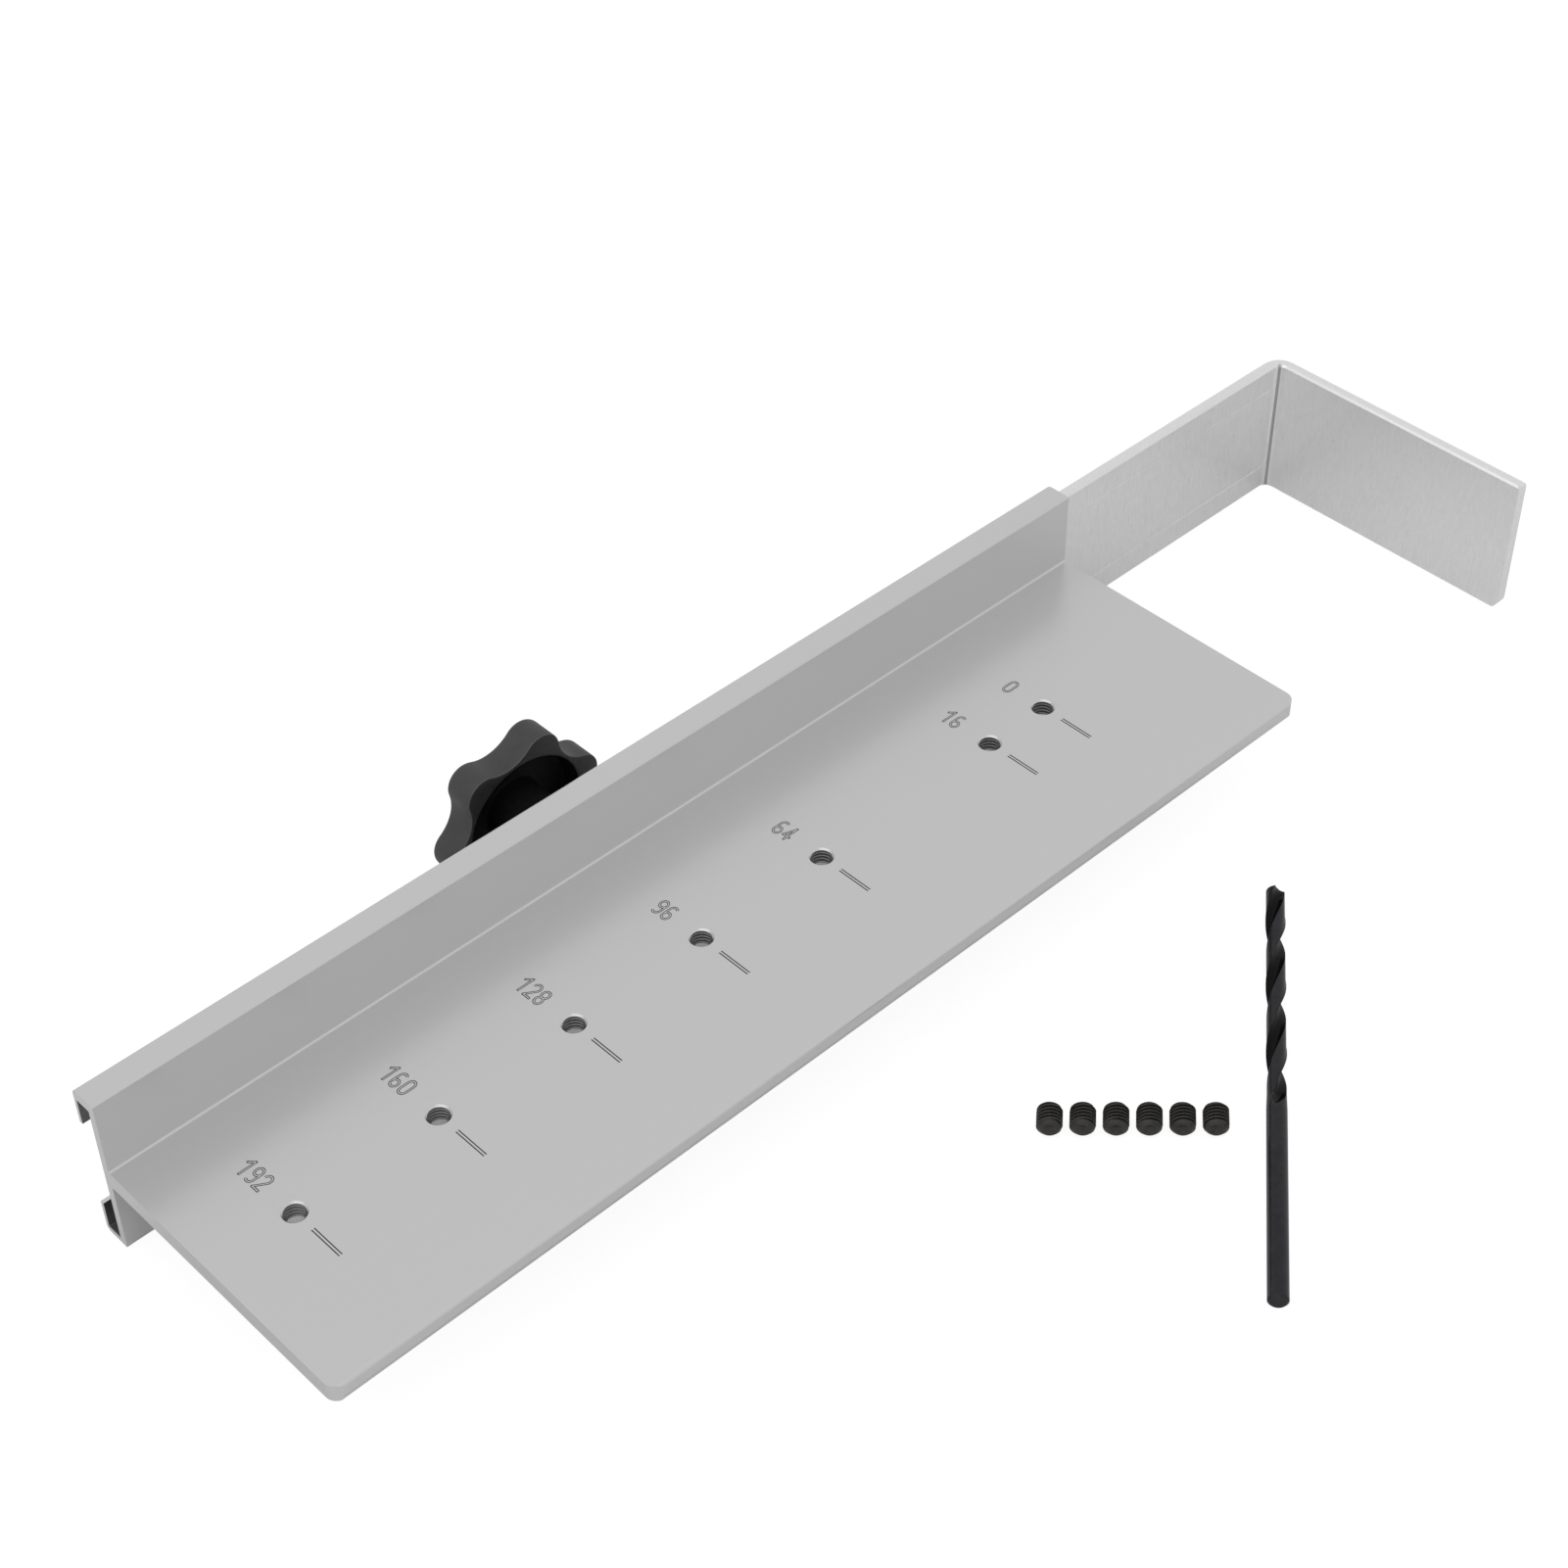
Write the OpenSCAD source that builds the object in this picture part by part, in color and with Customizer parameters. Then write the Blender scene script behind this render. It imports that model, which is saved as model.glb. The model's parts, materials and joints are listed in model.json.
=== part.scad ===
// Cabinet handle jig: an aluminium rail with a row of tapped guide holes, a sliding L-shaped
// stop bar clamped by a star knob, and the loose drill bit and grub screws of the set.
// Millimetres. The origin is the centre of guide hole 0 at half the plate's thickness, +X points
// along the rail to the stop leg, +Y to the fence wall, +Z up.

/* [Plate] */
// Width of the plate, front edge to fence face
plate_w = 65; // [55:1:80]
// Thickness of the plate
plate_t = 4; // [3.4:0.1:5]
// Distance of the hole row from the fence face
row_inset = 30; // [24:0.5:36]
// Rounding of the plate's upper front edge
front_round_r = 0.8; // [0.4:0.1:1.2]
// Height of the bevel on the plate's lower front edge
front_bevel_h = 1; // [0.5:0.1:1.5]
// Depth of the bevel on the plate's lower front edge
front_bevel_d = 0.25; // [0.1:0.05:0.5]
// Rounding of the plate's two front corners in plan
plan_corner_r = 2.6; // [0.5:0.1:6]
// Fillet between plate and fence wall
root_r = 0.5; // [0.3:0.1:2]

/* [Fence wall and channel] */
// Height of the wall above the plate
wall_above = 17.3; // [16:0.1:22]
// Depth of the fence below the plate
wall_below = 16.9; // [15:0.1:22]
// Thickness of the fence wall
wall_t = 1.8; // [1.5:0.1:3]
// Thickness of the channel's two lips
lip_t = 0.9; // [0.8:0.1:2]
// Thickness of the web over the channel
top_web_t = 2.45; // [2:0.05:4]
// Thickness of the web under the channel
foot_web_t = 1.4; // [1.2:0.05:3]
// Height of the upper lip, from the rail's top
top_lip_h = 8.75; // [7:0.05:10]
// Height of the lower lip, from the rail's foot
foot_lip_h = 7.7; // [6.5:0.1:11]
// Rounding of the rail's outer back edges
back_r = 1.3; // [0.5:0.1:1.5]
// Rounding of the wall's front edges
wall_edge_r = 0.4; // [0.2:0.1:0.8]
// Fillet in the channel's corners
channel_r = 0.3; // [0.1:0.05:0.35]

/* [Guide holes and scale] */
// Step of the hole grid
grid = 16; // [14:1:20]
// Distance of hole 0 from the rail's right end
zero_inset = 39.7; // [30:0.1:60]
// Distance of the last hole from the rail's left end
end_inset = 18.3; // [12:0.1:40]
// Radius of the thread's crests in a guide hole
guide_r = 2.1; // [1.9:0.05:2.3]
// Pitch of the guide thread
guide_pitch = 0.8; // [0.7:0.05:0.8]
// Width of a thread groove at the crests
groove_w = 0.5; // [0.3:0.05:0.55]
// Depth of a thread groove
groove_d = 0.35; // [0.2:0.05:0.4]
// Radius of a guide hole's rim on the plate's faces
rim_r = 2.5; // [2.35:0.05:2.7]
// Distance from the hole row to a tick mark
tick_gap = 5.3; // [4:0.1:8]
// Length of a tick mark
tick_l = 7.9; // [4:0.1:12]
// Width of each of a tick's two lines
tick_line_w = 0.25; // [0.15:0.05:0.3]
// Distance between a tick's two lines
tick_line_step = 0.6; // [0.5:0.05:1]
// Distance from the hole row to the middle of a number's last digit
number_gap = 9.1; // [7:0.1:12]
// Height of a digit
digit_h = 4.3; // [3.5:0.1:5]
// Distance from digit to digit
digit_step = 2.5; // [2.4:0.05:4]
// Width of a digit, as a share of the width that two round bows need
digit_width_share = 0.85; // [0.7:0.05:0.9]
// Width of an engraved stroke
stroke_w = 0.6; // [0.4:0.05:0.7]
// Width of the rib left standing inside a stroke
stroke_rib_w = 0.22; // [0.1:0.02:0.3]
// Depth of the engraving
mark_d = 0.2; // [0.1:0.05:0.4]

/* [Stop bar] */
// Length of the stop bar, left end to the leg's outer face
bar_l = 230; // [180:1:260]
// Reach of the stop bar past the rail's right end
bar_reach = 77.85; // [40:0.05:110]
// Thickness of the stop bar
bar_t = 2.8; // [2.4:0.1:4]
// Free space between the bar's front face and the fence wall
bar_front_gap = 0.9; // [0.3:0.1:1.5]
// Play of the bar over and under it in the channel
bar_play = 0.1; // [0.05:0.05:0.3]
// Length of the leg, from the bar's back face to the leg's end
leg_l = 69.5; // [50:0.25:90]
// Inner radius of the bend
bend_r = 2; // [1:0.1:4]
// Bevel of the bar's long edges
bar_bevel = 0.45; // [0.35:0.05:0.6]
// Rounding of the leg's lower end corner
leg_foot_r = 2.6; // [1:0.1:8]
// Rounding of the leg's upper end corner
leg_top_r = 1.2; // [0.5:0.1:8]
// Distance of the stud from the bar's left end
stud_inset = 15.9; // [12:0.1:30]
// Distance of the two scribed lines on the bar's front from its long edges
scribe_inset = 6.2; // [4:0.1:10]
// Width of a scribed line
scribe_w = 0.25; // [0.15:0.05:0.4]
// Depth of a scribed line
scribe_d = 0.1; // [0.05:0.05:0.2]
// Width of the folding groove along the inside of the bend
fold_w = 0.4; // [0.2:0.1:0.8]

/* [Clamp stud and washer] */
// Radius of the stud's shank
stud_r = 3; // [2.5:0.1:3.5]
// Length of the stud, from the bar's front face to its tip
stud_l = 18; // [15:0.1:19]
// Radius of the stud's flat head
stud_head_r = 4.75; // [4.2:0.05:6]
// Thickness of the stud's flat head
stud_head_t = 1.5; // [1:0.1:1.8]
// Bevel of the stud's tip
stud_tip_bevel = 0.6; // [0.3:0.1:1]
// Radial clearance of the stud in the bar
stud_fit = 0.02; // [0.01:0.01:0.05]
// Outer radius of the clamp washer
washer_r = 14; // [12:0.5:17]
// Thickness of the clamp washer
washer_t = 1.6; // [1.2:0.1:2.5]
// Radial clearance of the stud in the washer
washer_play = 0.2; // [0.1:0.05:0.5]
// Bevel of the washer's edges
washer_bevel = 0.3; // [0.1:0.05:0.4]

/* [Knob] */
// Radius of the knob over its lobes
knob_r = 19.1; // [17.5:0.1:22]
// Radius of the knob at its waists
waist_r = 14.9; // [14.6:0.1:16.5]
// Radius of a lobe's tip
lobe_r = 4.5; // [4:0.1:5.5]
// Number of lobes
lobe_count = 6; // [6:1:7]
// Turn of the knob at rest, in degrees
knob_turn = 9.7; // [0:0.1:59]
// Thickness of the knob's head
knob_t = 7.5; // [7:0.1:10]
// Radius of the hollow in the knob's inner side
hollow_r = 14; // [12:0.1:14.3]
// Depth of the hollow
hollow_d = 5; // [3:0.1:5.5]
// Radius of the hub
hub_r = 6.5; // [6:0.1:8]
// Length of the hub, from the washer to the hollow's floor
hub_l = 18.1; // [16:0.1:20]
// Radius of the low dome on the knob's outer side
dome_r = 11; // [8:0.1:13]
// Height of the dome
dome_h = 1.2; // [0.5:0.1:2]
// Radius of the threaded insert
insert_r = 5; // [4.4:0.1:5.5]
// Length of the threaded insert
insert_l = 14; // [12:0.1:14.8]
// Width of the grip grooves round the insert
insert_groove_w = 1; // [0.5:0.1:1.5]
// Depth of the grip grooves round the insert
insert_groove_d = 0.5; // [0.2:0.1:0.6]
// Radial clearance between the stud's shank and the insert
thread_play = 0.05; // [0.02:0.01:0.1]

/* [Drill bit] */
// Diameter of the drill bit
drill_d = 4; // [3:0.1:4.1]
// Length of the drill bit
drill_l = 105; // [80:1:120]
// Length of its fluted part
flute_l = 60; // [40:1:70]
// Length of one full turn of the flutes
flute_lead = 35.5; // [28:0.5:50]
// Thickness of the web between the flutes
drill_web = 1.1; // [0.6:0.1:1.3]
// Radius of a flute, as a share of the bit's radius
flute_share = 0.65; // [0.5:0.05:0.9]
// Point angle of the bit, in degrees
point_angle = 118; // [110:1:135]
// Bevel of the shank's end
shank_bevel = 0.4; // [0.2:0.1:0.6]

/* [Grub screws] */
// Outer diameter of a grub screw's thread
screw_d = 5; // [4:0.1:5]
// Length of a grub screw
screw_l = 5; // [4.5:0.1:8]
// Pitch of its thread
screw_pitch = 0.8; // [0.7:0.05:0.9]
// Depth of its thread
screw_groove_d = 0.4; // [0.2:0.05:0.5]
// Width across flats of its hexagon socket
socket_af = 2.5; // [2:0.1:2.6]
// Depth of its hexagon socket
socket_d = 2.5; // [1.5:0.1:2.8]
// Bevel of its socket end
screw_bevel = 0.3; // [0.2:0.1:0.6]
// Bevel of its cup end
cup_bevel = 0.8; // [0.6:0.1:1]
// Radius of the cup in its other end
cup_r = 1.2; // [0.8:0.1:1.3]
// Depth of the cup
cup_d = 0.6; // [0.3:0.1:1]
// Width of a thread groove at the crests, as a share of the pitch
screw_groove_share = 0.8; // [0.6:0.05:0.9]

/* [Places of the loose pieces] */
// Distance of the drill bit's middle left of hole 0
drill_left = 31.4; // [20:0.1:60]
// Distance of the drill bit's middle in front of hole 0
drill_front = 90.1; // [85:0.1:120]
// Turn of the drill bit from the X axis, in degrees
drill_turn = 39.5; // [30:0.1:50]
// Roll of the drill bit about its own axis, in degrees
drill_roll = 52; // [0:1:180]
// Distance of the first grub screw left of hole 0
screw_left = 69.9; // [60:0.1:90]
// Distance of the first grub screw in front of hole 0
screw_front = 67.1; // [60:0.1:70]
// Step from screw to screw along X
screw_step_x = 4.46; // [4:0.02:5]
// Step from screw to screw towards the front
screw_step_y = 4.34; // [4:0.02:5]
// Turn of a grub screw from the X axis, in degrees
screw_turn = 41.2; // [35:0.1:45]

/* [Hidden] */
$fn = 64;

// Overshoot of a cutting shape past the face that it cuts
over = 0.2;
// Sides of the drill bit's rings, and steps along its flutes and its point
BIT_SIDES = 24;
FLUTE_STEPS = 30;
POINT_STEPS = 4;
// Guide holes, in grid steps from hole 0
HOLE_STEPS = [0, 1, 4, 6, 8, 10, 12];

plate_top_z = plate_t / 2;
plate_front_y = row_inset - plate_w;
fence_y = row_inset;
rail_right_x = zero_inset;
rail_l = zero_inset + grid * max(HOLE_STEPS) + end_inset;
rail_left_x = rail_right_x - rail_l;
rail_top_z = plate_top_z + wall_above;
rail_foot_z = -plate_top_z - wall_below;

channel_front_y = fence_y + wall_t;
channel_back_y = channel_front_y + bar_front_gap + bar_t;
channel_foot_z = rail_foot_z + foot_web_t;
channel_top_z = rail_top_z - top_web_t;
rail_back_y = channel_back_y + lip_t;
mouth_foot_z = rail_foot_z + foot_lip_h;
mouth_top_z = rail_top_z - top_lip_h;

groove_count = round(plate_t / guide_pitch) - 1;
rim_bevel = rim_r - guide_r;

bar_h = channel_top_z - channel_foot_z - 2 * bar_play;
bar_foot_z = channel_foot_z + bar_play;
bar_mid_z = bar_foot_z + bar_h / 2;
bar_front_y = channel_back_y - bar_t;
leg_out_x = rail_right_x + bar_reach;
bend_x = leg_out_x - bar_t - bend_r;
bend_y = bar_front_y - bend_r;
bar_left_x = leg_out_x - bar_l;
leg_end_y = channel_back_y - leg_l;

stud_x = bar_left_x + stud_inset;
washer_back_y = rail_back_y + washer_t;
hollow_floor_y = washer_back_y + hub_l;
knob_rim_y = hollow_floor_y - hollow_d;

digit_r = (digit_h - stroke_w) / 4;
floor_z = rail_foot_z;
drill_r = drill_d / 2;
flute_foot = drill_l - flute_l;
flute_run = drill_d;
screw_r = screw_d / 2;

// A square corner with a quarter circle taken out: it rounds an outer corner when it is cut
// away, and fills an inner one when it is added. The corner is at the origin, towards +x +y.
module corner(r) {
    difference() {
        translate([-over, -over]) square(r + over);
        translate([r, r]) circle(r);
    }
}

// Turns a cylinder or a section built along +Z to lie along +Y through the stud's axis
module on_stud(y) {
    translate([stud_x, y, bar_mid_z]) rotate([-90, 0, 0]) children();
}

// A cylinder with bevelled ends
module pin(r, l, foot_bevel, top_bevel) {
    rotate_extrude() polygon([
        [0, 0], [r - foot_bevel, 0], [r, foot_bevel],
        [r, l - top_bevel], [r - top_bevel, l], [0, l]
    ]);
}

// Cross-section of the rail: x is Y of the part, y is Z of the part
module rail_section() {
    outer = [
        [rail_back_y, rail_top_z, 180, back_r],
        [rail_back_y, rail_foot_z, 90, back_r],
        [fence_y, rail_top_z, 270, wall_edge_r],
        [fence_y, rail_foot_z, 0, wall_edge_r],
        [plate_front_y, plate_top_z, 270, front_round_r]
    ];
    inner = [
        [fence_y, plate_top_z, 90, root_r],
        [fence_y, -plate_top_z, 180, root_r],
        [channel_front_y, channel_foot_z, 0, channel_r],
        [channel_back_y, channel_foot_z, 90, channel_r],
        [channel_back_y, channel_top_z, 180, channel_r],
        [channel_front_y, channel_top_z, 270, channel_r]
    ];
    difference() {
        union() {
            translate([plate_front_y, -plate_top_z]) square([plate_w + wall_t, plate_t]);
            translate([fence_y, rail_foot_z])
                square([rail_back_y - fence_y, rail_top_z - rail_foot_z]);
        }
        translate([channel_front_y, channel_foot_z])
            square([channel_back_y - channel_front_y, channel_top_z - channel_foot_z]);
        translate([channel_back_y - over, mouth_foot_z])
            square([lip_t + 2 * over, mouth_top_z - mouth_foot_z]);
        for (c = outer) translate([c[0], c[1]]) rotate(c[2]) corner(c[3]);
        translate([plate_front_y, -plate_top_z]) polygon([
            [-over, -over], [front_bevel_d * (1 + over / front_bevel_h), -over],
            [-over, front_bevel_h * (1 + over / front_bevel_d)]
        ]);
    }
    for (c = inner) translate([c[0], c[1]]) rotate(c[2]) corner(c[3]);
}

// Cutting shape of one guide hole: bore, bevelled rims and the thread's grooves as rings
module guide_hole() {
    cylinder(r = guide_r, h = plate_t + 2 * over, center = true);
    for (side = [0, 1]) mirror([0, 0, side])
        translate([0, 0, plate_top_z - rim_bevel])
            cylinder(r1 = guide_r, r2 = rim_r + over, h = rim_bevel + over);
    for (i = [0 : groove_count - 1])
        translate([0, 0, (i - (groove_count - 1) / 2) * guide_pitch])
            rotate_extrude() polygon([
                [guide_r - groove_d, -groove_w], [guide_r + groove_d, 0],
                [guide_r - groove_d, groove_w]
            ]);
}

// A straight stroke of a digit, from point a to point b
module stroke(a, b, w, end = 0) {
    v = b - a;
    translate((a + b) / 2) rotate(atan2(v[1], v[0])) square([norm(v) + end, w], center = true);
}

// A round stroke of a digit, about the point c, from angle a0 to angle a1
module bow(c, a0, a1, w) {
    far = 2 * digit_r;
    turn = (a1 - a0) / 4;
    translate(c) intersection() {
        difference() {
            circle(digit_r + w / 2);
            circle(digit_r - w / 2);
        }
        polygon(concat([[0, 0]],
            [for (i = [0 : 4]) far * [cos(a0 + i * turn), sin(a0 + i * turn)]]));
    }
}

// A full round of a digit about the point c
module loop(c, w) {
    translate(c) difference() {
        circle(digit_r + w / 2);
        circle(digit_r - w / 2);
    }
}

// The strokes of one digit, with its middle at the origin and strokes of width w
module digit(n, w) {
    r = digit_r;
    up = [0, r];
    down = [0, -r];
    bend = -35;
    if (n == "0") {
        bow(up, 0, 180, w);
        bow(down, 180, 360, w);
        for (x = [-r, r]) stroke([x, -r], [x, r], w);
    }
    if (n == "1") {
        stroke([r / 3, -2 * r], [r / 3, 2 * r], w, w);
        stroke([r / 3, 2 * r], [-r, r], w, w);
    }
    if (n == "2") {
        bow(up, bend, 180, w);
        stroke(up + r * [cos(bend), sin(bend)], [-r, -2 * r], w, w);
        stroke([-r, -2 * r], [r, -2 * r], w, w);
    }
    if (n == "3") {
        bow(up, -90, 160, w);
        bow(down, -160, 90, w);
    }
    if (n == "4") {
        stroke([r / 3, 2 * r], [-r, -r], w, w);
        stroke([-r, -r], [r, -r], w, w);
        stroke([r / 3, 2 * r], [r / 3, -2 * r], w, w);
    }
    if (n == "5") {
        stroke([-r, 2 * r], [r, 2 * r], w, w);
        stroke([-r, 0], [-r, 2 * r], w, w);
        stroke([-r, 0], [0, 0], w, w);
        bow(down, -160, 90, w);
    }
    if (n == "6") six(w);
    if (n == "7") {
        stroke([-r, 2 * r], [r, 2 * r], w, w);
        stroke([r, 2 * r], [-r / 3, -2 * r], w, w);
    }
    if (n == "8") {
        loop(up, w);
        loop(down, w);
    }
    if (n == "9") rotate(180) six(w);
}

module six(w) {
    loop([0, -digit_r], w);
    bow([0, digit_r], 40, 180, w);
    stroke([-digit_r, -digit_r], [-digit_r, digit_r], w);
}

// A number across the rail: it reads towards the front edge, with its head to the right
module number(value) {
    label = str(round(value));
    rotate(-90) for (i = [0 : len(label) - 1])
        translate([-number_gap - (len(label) - 1 - i) * digit_step, 0])
            scale([digit_width_share, 1]) difference() {
                digit(label[i], stroke_w);
                digit(label[i], stroke_rib_w);
            }
}

// The two lines of a tick mark in front of a hole
module tick() {
    for (side = [-1, 1])
        translate([side * tick_line_step / 2, -tick_gap - tick_l / 2])
            square([tick_line_w, tick_l], center = true);
}

module rail() {
    color("silver") difference() {
        translate([rail_left_x, 0, 0]) rotate([90, 0, 90]) linear_extrude(rail_l) rail_section();
        translate([0, 0, -plate_t]) linear_extrude(2 * plate_t) {
            translate([rail_left_x, plate_front_y]) corner(plan_corner_r);
            translate([rail_right_x, plate_front_y]) rotate(90) corner(plan_corner_r);
        }
        for (s = HOLE_STEPS) translate([-s * grid, 0, 0]) {
            guide_hole();
            translate([0, 0, plate_top_z - mark_d]) linear_extrude(mark_d + over) {
                tick();
                number(s * grid);
            }
        }
    }
}

// Cross-section of the stop bar: thickness along x, height along y
module bar_section() {
    b = bar_bevel;
    polygon([
        [b, 0], [bar_t - b, 0], [bar_t, b], [bar_t, bar_h - b],
        [bar_t - b, bar_h], [b, bar_h], [0, bar_h - b], [0, b]
    ]);
}

module stop_bar() {
    color("lightgray") difference() {
        translate([0, 0, bar_foot_z]) {
            translate([bar_left_x, bar_front_y, 0]) rotate([90, 0, 90])
                linear_extrude(bend_x - bar_left_x) bar_section();
            translate([bend_x, bend_y, 0]) rotate_extrude(angle = 90)
                translate([bend_r, 0]) bar_section();
            translate([leg_out_x, bend_y, 0]) rotate([90, 0, 0]) mirror([1, 0, 0])
                linear_extrude(bend_y - leg_end_y) bar_section();
        }
        translate([leg_out_x - bar_t - over, leg_end_y, bar_foot_z])
            rotate([90, 0, 90]) linear_extrude(bar_t + 2 * over) {
                corner(leg_foot_r);
                translate([0, bar_h]) rotate(270) corner(leg_top_r);
            }
        for (z = [bar_foot_z + scribe_inset, bar_foot_z + bar_h - scribe_inset])
            translate([bar_left_x - over, bar_front_y - over, z - scribe_w / 2])
                cube([bend_x - bar_left_x + over, scribe_d + over, scribe_w]);
        translate([bend_x, bend_y, bar_foot_z - over]) rotate(45) translate([bend_r, 0, 0])
            cylinder(r = fold_w / 2, h = bar_h + 2 * over);
        on_stud(bar_front_y - over) cylinder(r = stud_r + stud_fit, h = bar_t + 2 * over);
        on_stud(bar_front_y - over) cylinder(r = stud_head_r + stud_fit, h = stud_head_t + over);
    }
}

module clamp_stud() {
    color("gray") on_stud(bar_front_y) {
        cylinder(r = stud_head_r, h = stud_head_t);
        pin(stud_r, stud_l, 0, stud_tip_bevel);
    }
}

module clamp_washer() {
    color("gainsboro") on_stud(rail_back_y) difference() {
        pin(washer_r, washer_t, washer_bevel, washer_bevel);
        translate([0, 0, -over])
            cylinder(r = stud_r + washer_play, h = washer_t + 2 * over);
    }
}

// Outline of the knob: round lobes on a star, joined by round waists that are tangent to them
module knob_outline() {
    half = 180 / lobe_count;
    lobe_c = knob_r - lobe_r;
    waist_b = (pow(lobe_c, 2) + pow(waist_r, 2) - 2 * lobe_c * waist_r * cos(half) - pow(lobe_r, 2))
        / (2 * (lobe_r - waist_r + lobe_c * cos(half)));
    waist_c = waist_r + waist_b;
    difference() {
        polygon([for (i = [0 : 2 * lobe_count - 1])
            (i % 2 == 0 ? lobe_c : waist_c) * [cos(i * half), sin(i * half)]]);
        for (i = [0 : lobe_count - 1]) rotate((2 * i + 1) * half)
            translate([waist_c, 0]) circle(waist_b);
    }
    for (i = [0 : lobe_count - 1]) rotate(2 * i * half) translate([lobe_c, 0]) circle(lobe_r);
}

module knob() {
    dome_ball_r = (pow(dome_r, 2) + pow(dome_h, 2)) / (2 * dome_h);
    web_t = knob_t - hollow_d;
    color("dimgray") on_stud(washer_back_y) difference() {
        union() {
            translate([0, 0, hub_l - hollow_d]) difference() {
                rotate(-knob_turn) linear_extrude(knob_t) knob_outline();
                translate([0, 0, -over]) cylinder(r = hollow_r, h = hollow_d + over);
            }
            cylinder(r = hub_r, h = hub_l + web_t / 2);
            translate([0, 0, hub_l + web_t]) intersection() {
                translate([0, 0, dome_h - dome_ball_r]) sphere(dome_ball_r);
                translate([0, 0, -over]) cylinder(r = 2 * dome_r, h = dome_h + 2 * over);
            }
        }
        translate([0, 0, -over]) cylinder(r = insert_r, h = insert_l + over);
    }
}

module knob_insert() {
    color("goldenrod") on_stud(washer_back_y) difference() {
        cylinder(r = insert_r, h = insert_l);
        translate([0, 0, -over]) cylinder(r = stud_r + thread_play, h = insert_l + 2 * over);
        for (i = [1, 2]) translate([0, 0, i * insert_l / 3 - insert_groove_w / 2])
            difference() {
                cylinder(r = insert_r + over, h = insert_groove_w);
                cylinder(r = insert_r - insert_groove_d, h = insert_groove_w);
            }
    }
}

// Distance from the bit's axis to its fluted surface, at the angle a from the middle of a flute
function flute_radius(a) =
    let (flute_r = drill_r * flute_share, c = drill_web / 2 + flute_r,
        bite = pow(flute_r, 2) - pow(c * sin(a), 2))
    bite > 0 ? min(drill_r, c * abs(cos(a)) - sqrt(bite)) : drill_r;

// Distance from the bit's axis to its surface at the height z: shank, flutes' start and point
function bit_radius(a, z) =
    let (sunk = min(1, max(0, (z - flute_foot) / flute_run)))
    min(drill_r - shank_bevel + z, drill_r - sunk * (drill_r - flute_radius(a)),
        (drill_l - z) * tan(point_angle / 2));

module drill_bit() {
    point_z = drill_l - drill_r / tan(point_angle / 2);
    heights = concat([0, shank_bevel],
        [for (i = [0 : FLUTE_STEPS]) flute_foot + (point_z - flute_foot) * i / FLUTE_STEPS],
        [for (i = [1 : POINT_STEPS]) point_z + (drill_l - point_z) * i / (POINT_STEPS + 1)]);
    rings = len(heights);
    points = [for (z = heights, i = [0 : BIT_SIDES - 1])
        let (a = i * 360 / BIT_SIDES, turn = 360 * (max(z, flute_foot) - drill_l) / flute_lead)
        [bit_radius(a, z) * cos(a + turn), bit_radius(a, z) * sin(a + turn), z]];
    sides = [for (k = [0 : rings - 2], i = [0 : BIT_SIDES - 1], half = [0, 1])
        let (low = k * BIT_SIDES, high = low + BIT_SIDES, next = (i + 1) % BIT_SIDES)
        half == 0 ? [low + i, high + i, high + next] : [low + i, high + next, low + next]];
    foot = [for (i = [0 : BIT_SIDES - 1]) i];
    tip = [for (i = [1 : BIT_SIDES]) rings * BIT_SIDES - i];
    color("dimgray") translate([-drill_left, -drill_front, floor_z + drill_r])
        rotate(drill_turn) translate([-drill_l / 2, 0, 0]) rotate([0, 90, 0]) rotate(drill_roll)
            polyhedron(points, concat([foot], sides, [tip]), convexity = 6);
}

// Grub screw number i of the row, its cup end towards the front left
module grub_screw(i) {
    threaded_l = screw_l - cup_bevel - screw_bevel;
    thread_mid = cup_bevel + threaded_l / 2;
    grooves = floor(threaded_l / screw_pitch);
    socket_r = socket_af / 2 / cos(30);
    groove_w = screw_pitch * screw_groove_share;
    color("dimgray")
        translate([-screw_left + i * screw_step_x, -screw_front - i * screw_step_y,
            floor_z + screw_r])
        rotate(screw_turn) translate([-screw_l / 2, 0, 0]) rotate([0, 90, 0]) difference() {
            pin(screw_r, screw_l, cup_bevel, screw_bevel);
            translate([0, 0, screw_l - socket_d])
                cylinder(r = socket_r, h = socket_d + over, $fn = 6);
            translate([0, 0, -over])
                cylinder(r1 = cup_r * (cup_d + over) / cup_d, r2 = 0, h = cup_d + over);
            for (j = [0 : grooves - 1])
                translate([0, 0, thread_mid + (j - (grooves - 1) / 2) * screw_pitch])
                    rotate_extrude() polygon([
                        [screw_r + screw_groove_d, -groove_w],
                        [screw_r - screw_groove_d, 0],
                        [screw_r + screw_groove_d, groove_w]
                    ]);
        }
}

rail();
stop_bar();
clamp_stud();
clamp_washer();
knob();
knob_insert();
drill_bit();
grub_screw(0);  // grub_screw_1
grub_screw(1);  // grub_screw_2
grub_screw(2);  // grub_screw_3
grub_screw(3);  // grub_screw_4
grub_screw(4);  // grub_screw_5
grub_screw(5);  // grub_screw_6
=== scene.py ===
import json
import math
import bmesh
import bpy
from mathutils import Matrix, Vector


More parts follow.
